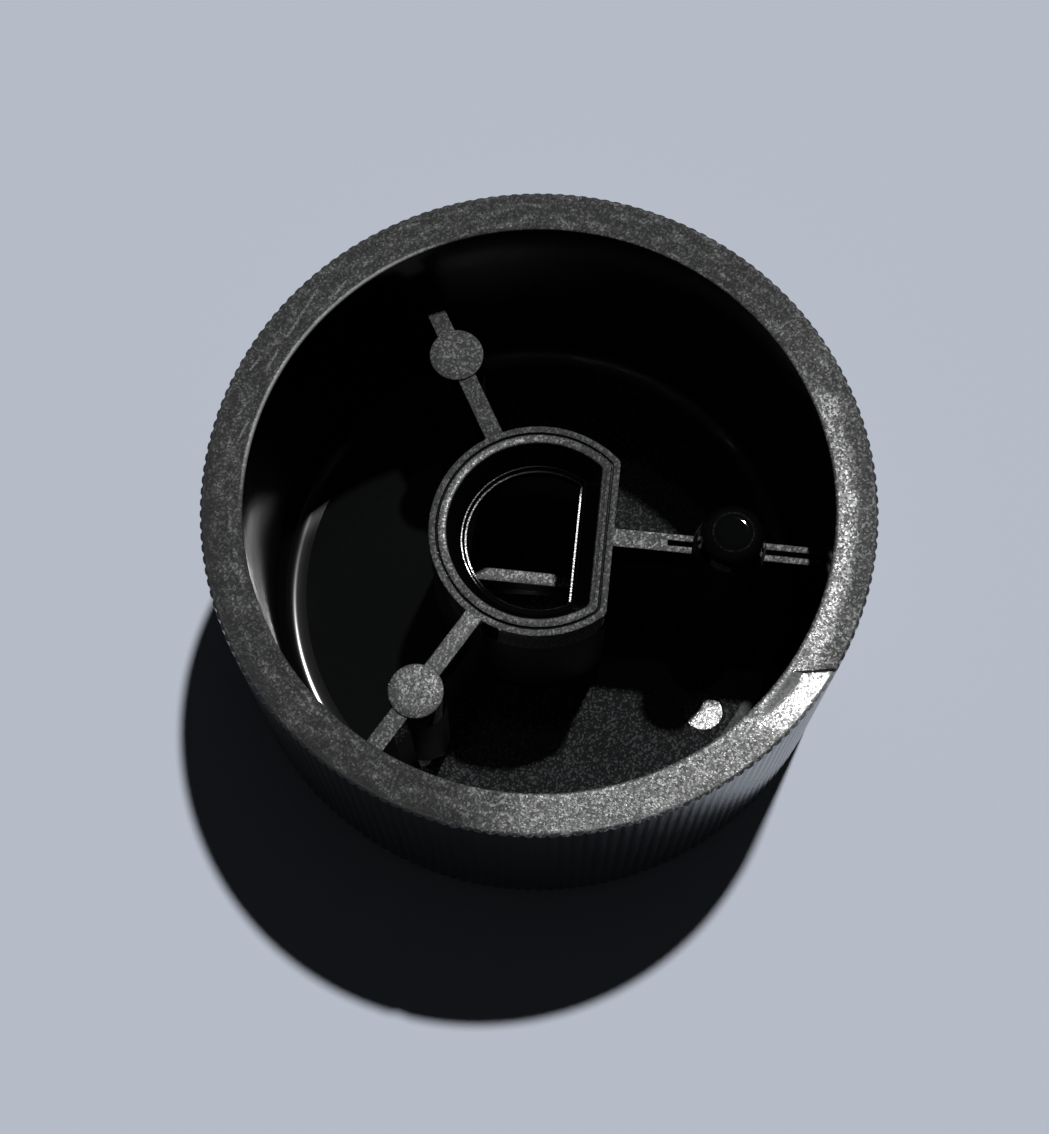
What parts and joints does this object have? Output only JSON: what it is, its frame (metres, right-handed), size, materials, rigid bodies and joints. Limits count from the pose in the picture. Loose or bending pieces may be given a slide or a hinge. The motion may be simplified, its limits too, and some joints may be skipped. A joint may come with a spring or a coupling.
{
  "type": "radio knob",
  "caption": "Round black plastic control knob with a finely knurled skirt, open at the back, with a D-shaped shaft socket on ribs inside.",
  "frame": {"origin": "centre of the flat front face", "axes": "+Z along the shaft axis towards the open back, +X towards the flat of the shaft socket"},
  "size_m": [0.027, 0.027, 0.014],
  "materials": {
    "plastic": "black, satin on the faces parallel to the rim and glossy on the walls"
  },
  "bodies": {
    "root": {"knob": "plastic"}
  },
  "joints": []
}
